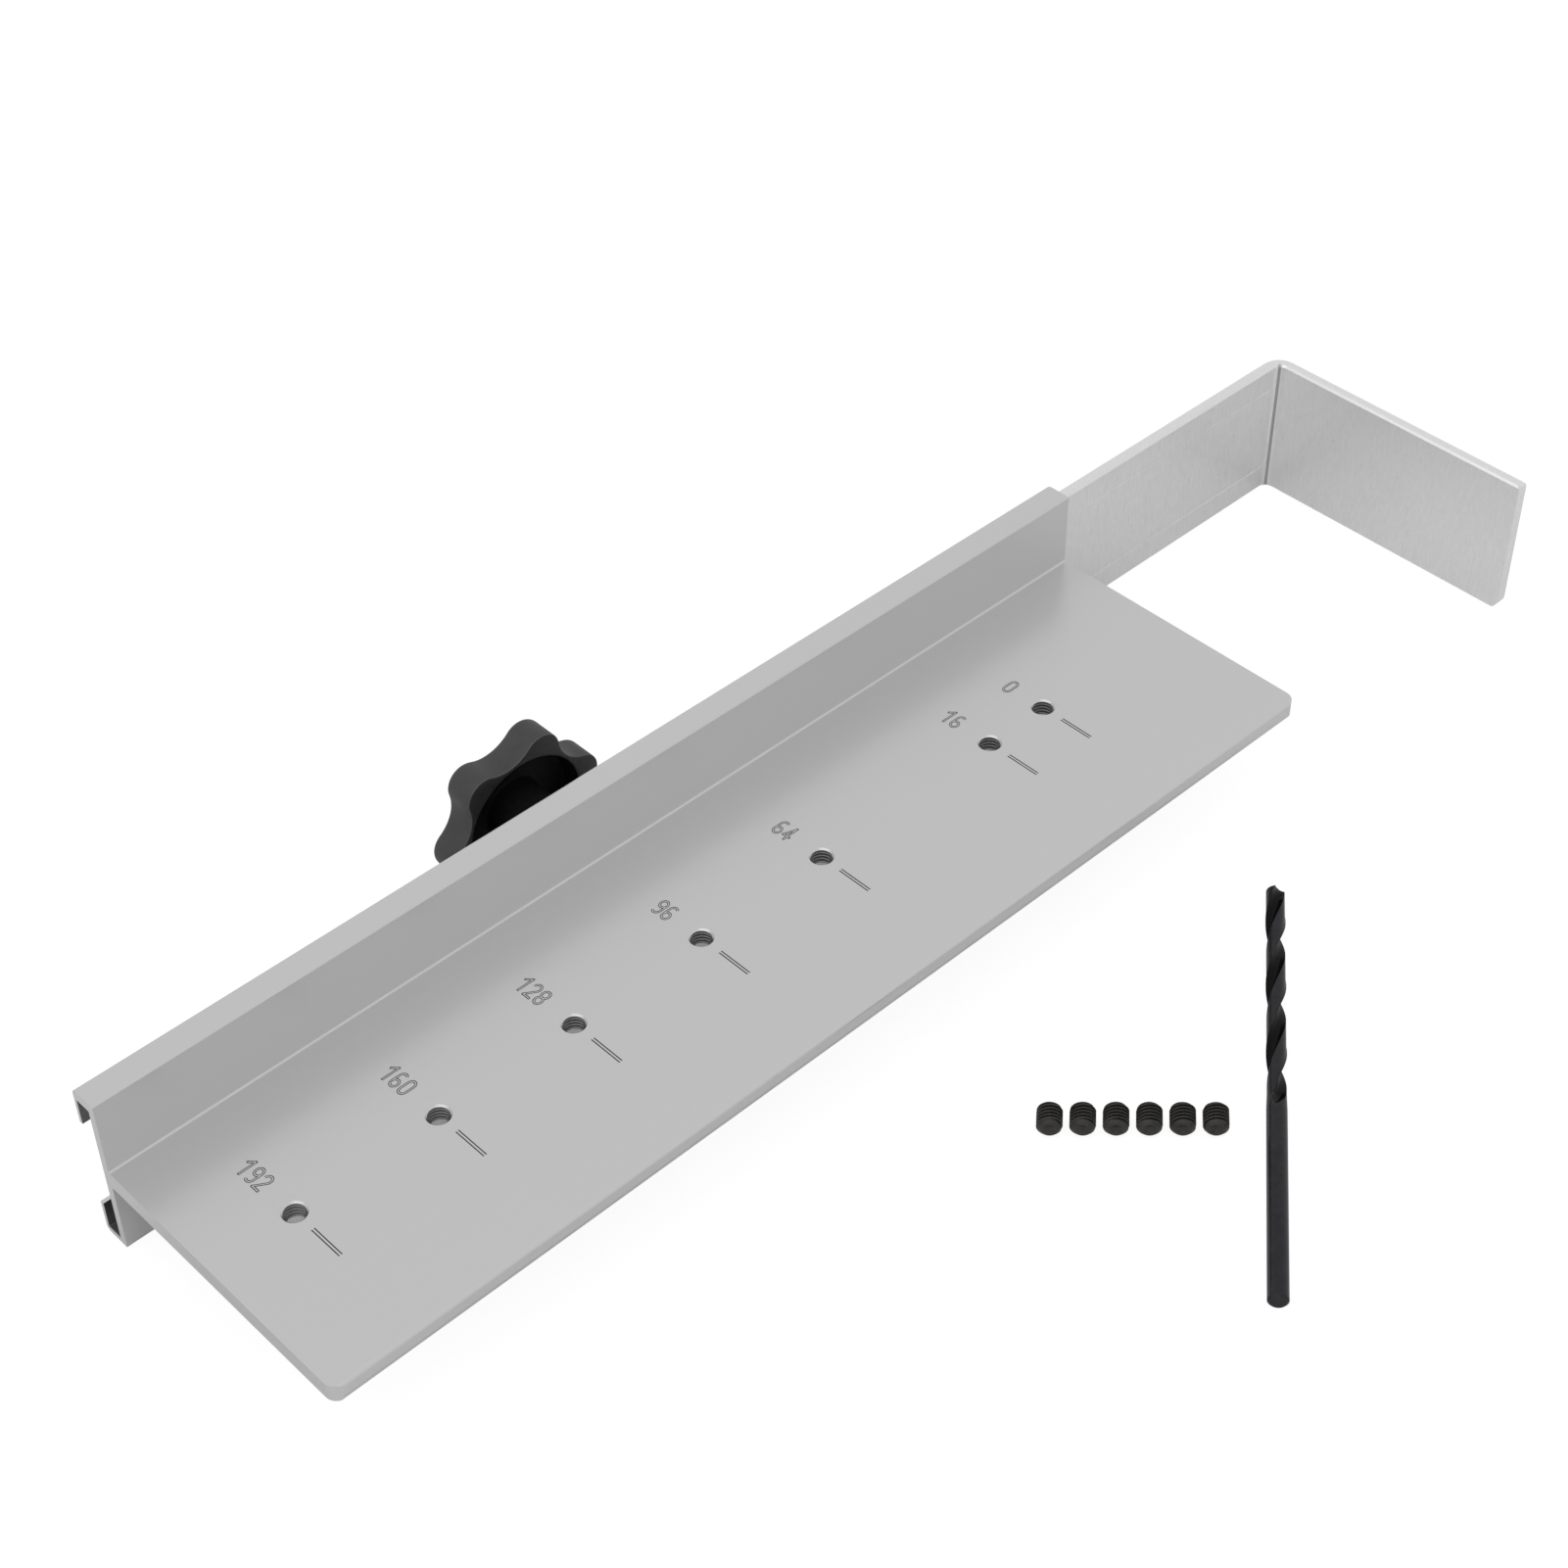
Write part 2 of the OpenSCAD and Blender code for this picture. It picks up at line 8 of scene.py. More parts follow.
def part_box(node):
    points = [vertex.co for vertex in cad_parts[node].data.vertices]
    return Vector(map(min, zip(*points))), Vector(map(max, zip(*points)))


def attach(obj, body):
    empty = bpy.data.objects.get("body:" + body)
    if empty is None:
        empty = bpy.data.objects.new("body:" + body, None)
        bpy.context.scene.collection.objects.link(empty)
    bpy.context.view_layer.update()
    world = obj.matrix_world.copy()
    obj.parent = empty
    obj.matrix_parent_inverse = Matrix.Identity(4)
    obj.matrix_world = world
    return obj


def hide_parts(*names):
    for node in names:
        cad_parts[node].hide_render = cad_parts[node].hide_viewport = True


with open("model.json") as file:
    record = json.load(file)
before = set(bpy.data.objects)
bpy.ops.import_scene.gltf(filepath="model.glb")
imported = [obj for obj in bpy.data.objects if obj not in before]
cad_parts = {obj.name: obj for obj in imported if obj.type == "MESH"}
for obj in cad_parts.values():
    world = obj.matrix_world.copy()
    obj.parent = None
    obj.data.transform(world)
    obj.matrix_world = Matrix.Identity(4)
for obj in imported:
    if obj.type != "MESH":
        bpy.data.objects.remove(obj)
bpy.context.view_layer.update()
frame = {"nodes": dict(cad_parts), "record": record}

# Cabinet handle jig. Metres. The origin is the centre of guide hole 0 at half the plate's
# thickness, +X runs to the stop leg, +Y to the fence wall, +Z is up.

MM = 0.001
SLOTS = {m["slot"]: m["base_color"] for m in frame["record"]["materials"]}

# Camera of the photograph, solved from the guide holes and the rail's edges
CAMERA_AIM = (-54.7 * MM, 20.4 * MM, 2.0 * MM)
CAMERA_DISTANCE = 588.4 * MM
CAMERA_AZIMUTH = 316.81
CAMERA_ELEVATION = 42.34
CAMERA_ROLL = -0.764
CAMERA_LENS_MM = 67.03
SENSOR_MM = 36.0

# Floor: its grey, the glow that whitens it, and the shares of that glow that the camera sees
# in the open and in the painted shadow under the plate, and that shiny faces mirror
FLOOR_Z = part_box("rail")[0].z
FLOOR_HALF = 1.6
FLOOR_TONE = 0.74
FLOOR_GLOW = 1.2
GLOW_SHARE = 0.75
PAINTED_SHADOW_GLOW_SHARE = 0.15
MIRRORED_GLOW_SHARE = 0.03

# Painted shadow: a fixed patch of floor under the plate glows less, so that it shows dark through the
# guide holes, on top of the real shadow there
PAINTED_SHADOW_UNDER_PLATE = ((-190 * MM, 25 * MM), (5 * MM, 28 * MM), (-20 * MM, -18 * MM))

# Light: the even sky, what shiny faces mirror of it, and one large lamp above the left
SKY_LEVEL = 0.76
MIRRORED_SKY = 0.7
KEY_PLACE = (-0.9, -0.2, 1.1)
KEY_SIZE = 2.0
KEY_POWER = 3.0

# Knob, measured from its axis and from the washer's back face
KNOB_LOBES = 6
KNOB_R = 19.1 * MM
WAIST_R = 14.9 * MM
LOBE_R = 4.5 * MM
KNOB_TURN = math.radians(9.7)
KNOB_T = 7.5 * MM
HOLLOW_R = 14.0 * MM
HOLLOW_D = 5.0 * MM
HUB_R = 6.5 * MM
HUB_L = 18.1 * MM
DOME_R = 11.0 * MM
DOME_H = 1.2 * MM
INSERT_R = 5.0 * MM
INSERT_L = 14.0 * MM
RIM_EDGE = 0.35 * MM
BACK_EDGE = 1.4 * MM
HOLLOW_FILLET = 0.8 * MM
HOLLOW_DRAFT = 0.25 * MM
LOBE_POINTS = 14
WAIST_POINTS = 10
RIM_STEPS = 3
FILLET_STEPS = 4
BACK_STEPS = 5
DOME_RINGS = 7
KNOB_CREASE = math.radians(35)

# Drill bit, measured from the shank's end
DRILL_MIDDLE = (-31.4 * MM, -90.1 * MM)
DRILL_TURN = math.radians(39.5)
DRILL_ROLL = math.radians(142)
DRILL_R = 2.0 * MM
DRILL_L = 105.0 * MM
FLUTE_L = 60.0 * MM
FLUTE_LEAD = 35.5 * MM
FLUTE_RUN = 4.0 * MM
SHANK_BEVEL = 0.4 * MM
WEB_T = 1.1 * MM
FLUTE_R = 1.3 * MM
LAND_RELIEF = 0.12 * MM
MARGIN_ANGLE = math.radians(9)
POINT_HALF_ANGLE = math.radians(59)
DRILL_SIDES = 120
DRILL_STEP = 0.35 * MM
POINT_RINGS = 8
DRILL_CREASE = math.radians(38)

# Grub screws, measured from the cup end
SCREW_TURN = math.radians(41.2)
SCREW_R = 2.5 * MM
SCREW_L = 5.0 * MM
SCREW_PITCH = 0.8 * MM
THREAD_D = 0.45 * MM
CUP_R = 1.2 * MM
CUP_D = 0.6 * MM
CUP_BEVEL = 0.8 * MM
SOCKET_BEVEL = 0.3 * MM
SOCKET_HALF_AF = 1.25 * MM
SOCKET_D = 2.5 * MM
SCREW_SIDES = 72
SCREW_STEP = 0.05 * MM
SCREW_EDGE = 0.06 * MM
THREAD_ROOT_SHARE = 0.12
THREAD_FLANK_SHARE = 0.74
MOUTH_R = 1.25 * SOCKET_HALF_AF
CUP_PIT_R = 0.06 * CUP_R
SOCKET_PIT_R = 0.05 * SOCKET_HALF_AF
FIRST_ROLL = math.radians(11)
ROLL_STEP = math.radians(23)
SCREW_CREASE = math.radians(40)

# Darker places, as spans along X, Y and Z: the engraved marks, which are darker in colour, and painted
# shade on the walls of the guide holes, in the channel behind the wall and in the fold inside the stop
# bar's bend
TICKS = ((-205 * MM, 35 * MM), (-14 * MM, -5 * MM), (1.6 * MM, 1.97 * MM))
NUMBERS = ((-205 * MM, 35 * MM), (5 * MM, 20 * MM), (1.6 * MM, 1.97 * MM))
HOLE_PAINTED_SHADE = ((-198 * MM, 6 * MM), (-2.9 * MM, 2.9 * MM), (-1.97 * MM, 1.66 * MM))
CHANNEL_PAINTED_SHADE = ((-215 * MM, 45 * MM), (31.75 * MM, 35.55 * MM), (-17.55 * MM, 16.9 * MM))
FOLD_PAINTED_SHADE = ((113.9 * MM, 114.8 * MM), (31.8 * MM, 32.65 * MM), (-17 * MM, 17 * MM))

# Brushed metals: cycles of noise per metre, and how the lines spread the roughness
SPECKLE_SCALE = 2600.0
CLOUD_SCALE = 14.0
SPREAD_SHARE = 1.2
MOST_SPREAD = 0.05


# Camera

def add_camera():
    azimuth = math.radians(CAMERA_AZIMUTH)
    elevation = math.radians(CAMERA_ELEVATION)
    roll = math.radians(CAMERA_ROLL)
    back = Vector((
        math.sin(azimuth) * math.cos(elevation),
        -math.cos(azimuth) * math.cos(elevation),
        math.sin(elevation),
    ))
    level = Vector((math.cos(azimuth), math.sin(azimuth), 0))
    upright = back.cross(level)
    right = level * math.cos(roll) + upright * math.sin(roll)
    up = back.cross(right)
    data = bpy.data.cameras.new("photo_camera")
    data.sensor_width = SENSOR_MM
    data.lens = CAMERA_LENS_MM
    camera = bpy.data.objects.new("photo_camera", data)
    turn = Matrix((right, up, back)).transposed().to_4x4()
    place = Matrix.Translation(Vector(CAMERA_AIM) + back * CAMERA_DISTANCE)
    camera.matrix_world = place @ turn
    bpy.context.scene.collection.objects.link(camera)
    bpy.context.scene.camera = camera


# Nodes of materials

class Shader:
    """One material with a Principled shader and short calls for its nodes."""

    def __init__(self, name):
        self.material = bpy.data.materials.new(name)
        self.material.use_nodes = True
        self.tree = self.material.node_tree
        self.surface = self.tree.nodes["Principled BSDF"]
        self.place = self.add("ShaderNodeTexCoord").outputs["Object"]

    def add(self, kind, **values):
        node = self.tree.nodes.new(kind)
        for key, value in values.items():
            setattr(node, key, value)
        return node

    def link(self, source, target):
        self.tree.links.new(source, target)

    def noise(self, scale, detail=3.0, roughness=0.55):
        """Noise on the object's own coordinates; scale is cycles per metre along X, Y, Z."""
        mapping = self.add("ShaderNodeMapping")
        mapping.inputs["Scale"].default_value = scale
        self.link(self.place, mapping.inputs["Vector"])
        texture = self.add("ShaderNodeTexNoise")
        texture.inputs["Scale"].default_value = 1.0
        texture.inputs["Detail"].default_value = detail
        texture.inputs["Roughness"].default_value = roughness
        self.link(mapping.outputs["Vector"], texture.inputs["Vector"])
        return texture.outputs["Fac"]

    def ramp(self, value, low, high, start=0.3, end=0.7):
        """Maps a value from start..end to low..high, which are numbers."""
        node = self.add("ShaderNodeMapRange")
        numbers = {"From Min": start, "From Max": end, "To Min": low, "To Max": high}
        for key, number in numbers.items():
            node.inputs[key].default_value = number
        self.link(value, node.inputs["Value"])
        return node.outputs["Result"]

    def shade(self, color, factor):
        """A colour multiplied by a varying factor."""
        node = self.add("ShaderNodeVectorMath", operation="SCALE")
        node.inputs[0].default_value = color
        self.link(factor, node.inputs["Scale"])
        return node.outputs["Vector"]

    def calc(self, operation, a, b):
        node = self.add("ShaderNodeMath", operation=operation)
        for socket, value in zip(node.inputs, (a, b)):
            if isinstance(value, (int, float)):
                socket.default_value = value
            else:
                self.link(value, socket)
        return node.outputs["Value"]

    def axes(self):
        """The object's own X, Y and Z."""
        node = self.add("ShaderNodeSeparateXYZ")
        self.link(self.place, node.inputs["Vector"])
        return node.outputs

    def between(self, inside, value, low, high):
        """The number inside where the value lies between low and high, and 0 elsewhere."""
        inside = self.calc("MULTIPLY", inside, self.calc("GREATER_THAN", value, low))
        return self.calc("MULTIPLY", inside, self.calc("LESS_THAN", value, high))

    def within(self, *spans):
        """1 where the object's X, Y and Z lie in the three spans, and 0 elsewhere."""
        inside = 1.0
        for axis, (low, high) in zip(self.axes(), spans):
            inside = self.between(inside, axis, low, high)
        return inside

    def around(self, x, z, radius, low, high):
        """1 within a radius of an axis along Y and from low to high on it, and 0 elsewhere."""
        axis_x, axis_y, axis_z = self.axes()
        across = self.calc("SUBTRACT", axis_x, x)
        up = self.calc("SUBTRACT", axis_z, z)
        square = self.calc("ADD", self.calc("MULTIPLY", across, across), self.calc("MULTIPLY", up, up))
        return self.between(self.calc("LESS_THAN", square, radius ** 2), axis_y, low, high)

    def toned(self, factor, spot, share):
        """The factor, times a share where the spot is 1."""
        return self.calc("MULTIPLY", factor, self.ramp(spot, low=1.0, high=share, start=0.0, end=1.0))

    def bump(self, height, distance, strength=1.0, below=None):
        node = self.add("ShaderNodeBump")
        node.inputs["Strength"].default_value = strength
        node.inputs["Distance"].default_value = distance
        self.link(height, node.inputs["Height"])
        if below is not None:
            self.link(below, node.inputs["Normal"])
        return node.outputs["Normal"]

    def set(self, **values):
        for key, value in values.items():
            self.surface.inputs[key.replace("_", " ")].default_value = value

    def wire(self, **sockets):
        for key, source in sockets.items():
            self.link(source, self.surface.inputs[key.replace("_", " ")])


def even(value):
    return (value, value, value)


def slot_color(slot, tint=even(1.0)):
    """A slot's colour, with each of its three channels times a share."""
    return tuple(share * channel for share, channel in zip(tint, SLOTS[slot]))


def brushed_metal(name, color, metallic, rough, lines, line_depth, tone, marks_and_painted_shade=()):
    """Metal with fine lines; lines is their cycles per metre along X, Y, Z.

    tone is how far the lines change the colour, and marks_and_painted_shade are shares and spans of
    darker colour: dark marks, and painted shade in hollows and folds.
    """
    shader = Shader(name)
    streaks = shader.noise(lines, detail=4.0, roughness=0.6)
    speckle = shader.noise(even(SPECKLE_SCALE), detail=2.0)
    cloud = shader.noise(even(CLOUD_SCALE), detail=2.0)
    spread = min(MOST_SPREAD, SPREAD_SHARE * tone)
    factor = shader.calc(
        "ADD",
        shader.ramp(streaks, low=1 - tone, high=1 + tone),
        shader.ramp(cloud, low=-tone / 2, high=tone / 2),
    )
    # Each span darkens the colour: the engraved marks' own colour, or painted shade in a hollow or fold
    for share, spans in marks_and_painted_shade:
        factor = shader.toned(factor, shader.within(*spans), share)
    shader.set(Metallic=metallic, IOR=1.5)
    shader.wire(
        Base_Color=shader.shade(color, factor),
        Roughness=shader.ramp(streaks, low=rough - spread, high=rough + spread),
        Normal=shader.bump(streaks, line_depth, below=shader.bump(speckle, line_depth / 2)),
    )
    return shader.material


# Finishes

def anodised_aluminium():
    return brushed_metal(
        "anodised_aluminium", slot_color("rail"), metallic=1.0, rough=0.3,
        lines=(6.0, 500.0, 500.0), line_depth=0.00002 * MM, tone=0.004,
        # Ticks and numbers are dark marks; the hole walls and the channel behind the wall get painted
        # shade
        marks_and_painted_shade=((0.25, TICKS), (0.2, NUMBERS), (0.25, HOLE_PAINTED_SHADE), (0.5, CHANNEL_PAINTED_SHADE)),
    )


def brushed_bar():
    return brushed_metal(
        "brushed_bar", slot_color("stop_bar", even(1.42)), metallic=1.0, rough=0.32,
        lines=(2400.0, 2400.0, 400.0), line_depth=0.006 * MM, tone=0.05,
        # Painted shade in the fold inside the bend
        marks_and_painted_shade=((0.6, FOLD_PAINTED_SHADE),),
    )


def bright_zinc():
    return brushed_metal(
        "bright_zinc", slot_color("clamp_washer"), metallic=0.9, rough=0.3,
        lines=(900.0, 60.0, 900.0), line_depth=0.004 * MM, tone=0.03,
    )


def turned_brass():
    return brushed_metal(
        "turned_brass", slot_color("knob_insert"), metallic=1.0, rough=0.28,
        lines=(120.0, 4000.0, 120.0), line_depth=0.006 * MM, tone=0.04,
    )


def moulded_plastic():
    """Black plastic with random tone, painted shade on the rim's flat face and a painted highlight
    along the rim's edge.
    """
    shader = Shader("moulded_plastic")
    grain = shader.noise(even(2200.0), detail=3.0)
    wear = shader.noise(even(160.0), detail=4.0)
    axis_x, back_y, axis_z = knob_place()
    rim_y = back_y + HUB_L - HOLLOW_D
    # Painted shade: darker from the washer's side up to the rim's flat face
    rim = shader.around(axis_x, axis_z, KNOB_R, back_y - RIM_EDGE, rim_y + RIM_EDGE / 2)
    # Painted highlight: a light line on the rim's rounded edge
    rim_painted_highlight = shader.around(axis_x, axis_z, KNOB_R, rim_y + RIM_EDGE / 4, rim_y + RIM_EDGE * 0.7)
    factor = shader.ramp(wear, low=0.85, high=1.2)
    factor = shader.toned(factor, rim, share=0.5)
    factor = shader.toned(factor, rim_painted_highlight, share=2.5)
    shader.set(IOR=1.47)
    shader.wire(
        Base_Color=shader.shade(slot_color("knob"), factor),
        Roughness=shader.ramp(wear, low=0.42, high=0.56),
        Normal=shader.bump(grain, distance=0.03 * MM, strength=0.6),
    )
    return shader.material


def hollow_painted_shade_plastic():
    """The same plastic inside the hollow, its colour painted near black as painted shade, and matt with
    little shine.
    """
    shader = Shader("hollow_painted_shade_plastic")
    grain = shader.noise(even(1500.0), detail=3.0)
    shader.set(IOR=1.2)
    shader.wire(
        Base_Color=shader.shade(slot_color("knob"), shader.ramp(grain, low=0.08, high=0.16)),
        Roughness=shader.ramp(grain, low=0.45, high=0.6),
        Normal=shader.bump(grain, distance=0.02 * MM, strength=0.6),
    )
    return shader.material


def black_oxide(name, slot, tint, rough, ior):
    """Blackened steel; tint is a share for each channel of the slot's colour."""
    shader = Shader(name)
    grain = shader.noise(even(1800.0), detail=4.0)
    stain = shader.noise(even(420.0), detail=3.0)
    shader.set(IOR=ior)
    shader.wire(
        Base_Color=shader.shade(slot_color(slot, tint), shader.ramp(stain, low=0.75, high=1.3)),
        Roughness=shader.ramp(stain, low=rough - 0.03, high=rough + 0.04),
        Normal=shader.bump(grain, distance=0.002 * MM, strength=0.7),
    )
    return shader.material


def finish(node, material):
    """Gives a CAD node one material and leaves its mesh as it is."""
    mesh = frame["nodes"][node].data
    mesh.materials.clear()
    mesh.materials.append(material)


# Meshes

def new_piece(name, bm, materials, body, node):
    """A smooth-shaded piece from a bmesh, riding on a body in the place of a node."""
    bmesh.ops.recalc_face_normals(bm, faces=bm.faces)
    mesh = bpy.data.meshes.new(name)
    bm.to_mesh(mesh)
    bm.free()
    for material in materials:
        mesh.materials.append(material)
    for polygon in mesh.polygons:
        polygon.use_smooth = True
    piece = bpy.data.objects.new(name, mesh)
    bpy.context.scene.collection.objects.link(piece)
    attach(piece, body)
    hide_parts(node)
    return piece


def loft(bm, rings):
    """Joins rings of equally many points into a skin, and caps its ends."""
    made = [[bm.verts.new(p) for p in ring] for ring in rings]
    count = len(made[0])
    for low, high in zip(made, made[1:]):
        for i in range(count):
            j = (i + 1) % count
            bm.faces.new((low[i], low[j], high[j], high[i]))
    bm.faces.new(list(reversed(made[0])))
    bm.faces.new(made[-1])


def second_inside(bm, radius, low, high):
    """Gives the second material to the faces near the Z axis, from low to high along it."""
    for face in bm.faces:
        middle = face.calc_center_median()
        if middle.xy.length < radius and low < middle.z < high:
            face.material_index = 1


def sharpen(piece, crease):
    """Marks edges that bend by more than the crease angle, so that smooth shading stops there."""
    mesh = piece.data
    bm = bmesh.new()
    bm.from_mesh(mesh)
    for edge in bm.edges:
        edge.smooth = len(edge.link_faces) != 2 or edge.calc_face_angle(0) < crease
    bm.to_mesh(mesh)
    bm.free()


def lathe_ring(radius, height, angles):
    """A circle of points round the Z axis."""
    return [(radius * math.cos(a), radius * math.sin(a), height) for a in angles]


# Knob

def knob_place():
    """The knob's axis, and the washer's back face that its hub bears on."""
    low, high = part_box("clamp_washer")
    return (low.x + high.x) / 2, high.y, (low.z + high.z) / 2


def knob_outline():
    """Points round the lobes and waists, each with its outward normal."""
    half = math.pi / KNOB_LOBES
    toward_waist = Vector((math.cos(half), math.sin(half)))
    lobe_x = KNOB_R - LOBE_R
    lobe = Vector((lobe_x, 0))
    reach = lobe_x * math.cos(half)
    # Radius of the waist's arc, which touches the arcs of the lobes on both its sides
    waist_arc = (lobe_x ** 2 + WAIST_R ** 2 - 2 * reach * WAIST_R - LOBE_R ** 2) / (
        2 * (LOBE_R - WAIST_R + reach)
    )
    waist = (WAIST_R + waist_arc) * toward_waist
    lean = math.atan2(waist.y, waist.x - lobe.x)
    points = []
    for i in range(KNOB_LOBES):
        turn = Matrix.Rotation(2 * i * half - KNOB_TURN, 2)
        for k in range(LOBE_POINTS):
            a = lean * (2 * k / LOBE_POINTS - 1)
            normal = Vector((math.cos(a), math.sin(a)))
            points.append((turn @ (lobe + LOBE_R * normal), turn @ normal))
        for k in range(WAIST_POINTS):
            a = lean + math.pi + (2 * half - 2 * lean) * k / WAIST_POINTS
            normal = Vector((-math.cos(a), -math.sin(a)))
            points.append((turn @ (waist - waist_arc * normal), turn @ normal))
    return points


def rounded(radius, steps):
    """Inset and depth of a quarter round edge, from the flat face to the wall."""
    quarter = math.pi / 2
    return [
        (radius * (1 - math.sin(quarter * i / steps)), radius * (1 - math.cos(quarter * i / steps)))
        for i in range(steps + 1)
    ]


def make_knob(outside, inside):
    """One skin from the insert's bore over the hub, the hollow and the rim to the domed back."""
    outline = knob_outline()
    angles = [math.atan2(p.y, p.x) for p, n in outline]

    def star(inset, height):
        return [(p.x - n.x * inset, p.y - n.y * inset, height) for p, n in outline]

    def ring(radius, height):
        return lathe_ring(radius, height, angles)

    rim_z = HUB_L - HOLLOW_D
    far_z = rim_z + KNOB_T
    rings = [ring(INSERT_R, INSERT_L), ring(INSERT_R, 0)]
    rim = rounded(RIM_EDGE, RIM_STEPS)
    fillet = rounded(HOLLOW_FILLET, FILLET_STEPS)
    back = rounded(BACK_EDGE, BACK_STEPS)
    floor_r = HOLLOW_R - HOLLOW_DRAFT
    rings += [ring(HUB_R - inset, depth) for inset, depth in rim]
    rings += [ring(HUB_R + depth, HUB_L - inset) for inset, depth in fillet]
    rings += [ring(floor_r - inset, HUB_L - depth) for inset, depth in fillet]
    rings += [ring(HOLLOW_R + inset, rim_z + depth) for inset, depth in reversed(rim)]
    rings += [star(inset, rim_z + depth) for inset, depth in rim]
    rings += [star(inset, far_z - depth) for inset, depth in reversed(back)]
    ball_r = (DOME_R ** 2 + DOME_H ** 2) / (2 * DOME_H)
    for i in range(DOME_RINGS):
        radius = DOME_R * (1 - i / DOME_RINGS)
        rise = math.sqrt(ball_r ** 2 - radius ** 2) - (ball_r - DOME_H)
        rings.append(ring(radius, far_z + rise))
    bm = bmesh.new()
    loft(bm, rings)
    # The faces inside the hollow take the plastic painted dark as painted shade
    second_inside(bm, HOLLOW_R, 0, HUB_L + RIM_EDGE)
    axis_x, back_y, axis_z = knob_place()
    for vert in bm.verts:
        x, y, z = vert.co
        vert.co = (axis_x + x, back_y + z, axis_z - y)
    finishes = [outside, inside]
    piece = new_piece("knob_moulding", bm, finishes, body="knob", node="knob")
    sharpen(piece, KNOB_CREASE)


# Drill bit

def lay_down(bm, middle, turn, length, radius):
    """Lays a body built along +Z on the floor, its middle at a place and its axis turned from X."""
    along = Vector((math.cos(turn), math.sin(turn), 0))
    side = Vector((-math.sin(turn), math.cos(turn), 0))
    centre = Vector((middle[0], middle[1], FLOOR_Z + radius))
    for vert in bm.verts:
        x, y, z = vert.co
        vert.co = centre + side * x + Vector((0, 0, y)) + along * (z - length / 2)


def drill_radius(angle, z):
    """Distance from the bit's axis to its surface: shank, flutes, margins and point."""
    foot = DRILL_L - FLUTE_L
    if z <= foot:
        return min(DRILL_R, DRILL_R - SHANK_BEVEL + z)
    # Two round flutes sink in from the shank over their run: sunk goes from 0 to 1
    sunk = min(1, (z - foot) / FLUTE_RUN)
    centre = WEB_T / 2 + FLUTE_R + (1 - sunk) ** 2 * (DRILL_R - WEB_T / 2)
    bite = FLUTE_R ** 2 - (centre * math.sin(angle)) ** 2
    # Beside each flute a narrow margin keeps the full radius, and the land is ground lower
    lip = math.asin(min(1, FLUTE_R / centre))
    past_lip = (angle - lip) % math.pi
    radius = DRILL_R
    if past_lip < math.pi - 2 * lip - MARGIN_ANGLE:
        radius -= LAND_RELIEF * sunk
    if bite > 0:
        radius = min(radius, centre * abs(math.cos(angle)) - math.sqrt(bite))
    return max(min(radius, (DRILL_L - z) * math.tan(POINT_HALF_ANGLE)), 0)


def make_drill(outside, inside):
    """One skin from the shank's end to the point, twisted along the flutes."""
    foot = DRILL_L - FLUTE_L
    point_z = DRILL_L - DRILL_R / math.tan(POINT_HALF_ANGLE)
    steps = round((point_z - foot) / DRILL_STEP)
    heights = [0.0, SHANK_BEVEL, foot / 2, foot - DRILL_STEP]
    heights += [foot + (point_z - foot) * i / steps for i in range(steps + 1)]
    point_l = DRILL_L - point_z
    heights += [point_z + point_l * i / (POINT_RINGS + 1) for i in range(1, POINT_RINGS + 1)]
    rings = []
    for z in heights:
        twist = 2 * math.pi * (max(z, foot) - DRILL_L) / FLUTE_LEAD + DRILL_ROLL
        ring = []
        for i in range(DRILL_SIDES):
            angle = 2 * math.pi * i / DRILL_SIDES
            radius = drill_radius(angle, z)
            ring.append((radius * math.cos(angle + twist), radius * math.sin(angle + twist), z))
        rings.append(ring)
    bm = bmesh.new()
    loft(bm, rings)
    # Painted shade: the faces inside the flutes take a much darker copy of the black oxide
    second_inside(bm, DRILL_R - 2 * LAND_RELIEF, foot, point_z)
    lay_down(bm, DRILL_MIDDLE, DRILL_TURN, DRILL_L, DRILL_R)
    finishes = [outside, inside]
    piece = new_piece("twist_drill", bm, finishes, body="drill_bit", node="drill_bit")
    sharpen(piece, DRILL_CREASE)


# Grub screws

def thread_radius(angle, z):
    """Distance from the screw's axis to its thread, with flat crests and rounded roots."""
    phase = (z / SCREW_PITCH - angle / (2 * math.pi)) % 1.0
    height = abs(2 * phase - 1)
    wave = min(1.0, max(0.0, (height - THREAD_ROOT_SHARE) / THREAD_FLANK_SHARE))
    return SCREW_R - THREAD_D * (1 - wave)


def hexagon(turn, angles, height):
    """A ring of points on the sides of the socket's hexagon."""
    ring = []
    sixth = math.pi / 3
    for a in angles:
        near = ((a - turn + sixth / 2) % sixth) - sixth / 2
        radius = SOCKET_HALF_AF / math.cos(near)
        ring.append((radius * math.cos(a), radius * math.sin(a), height))
    return ring


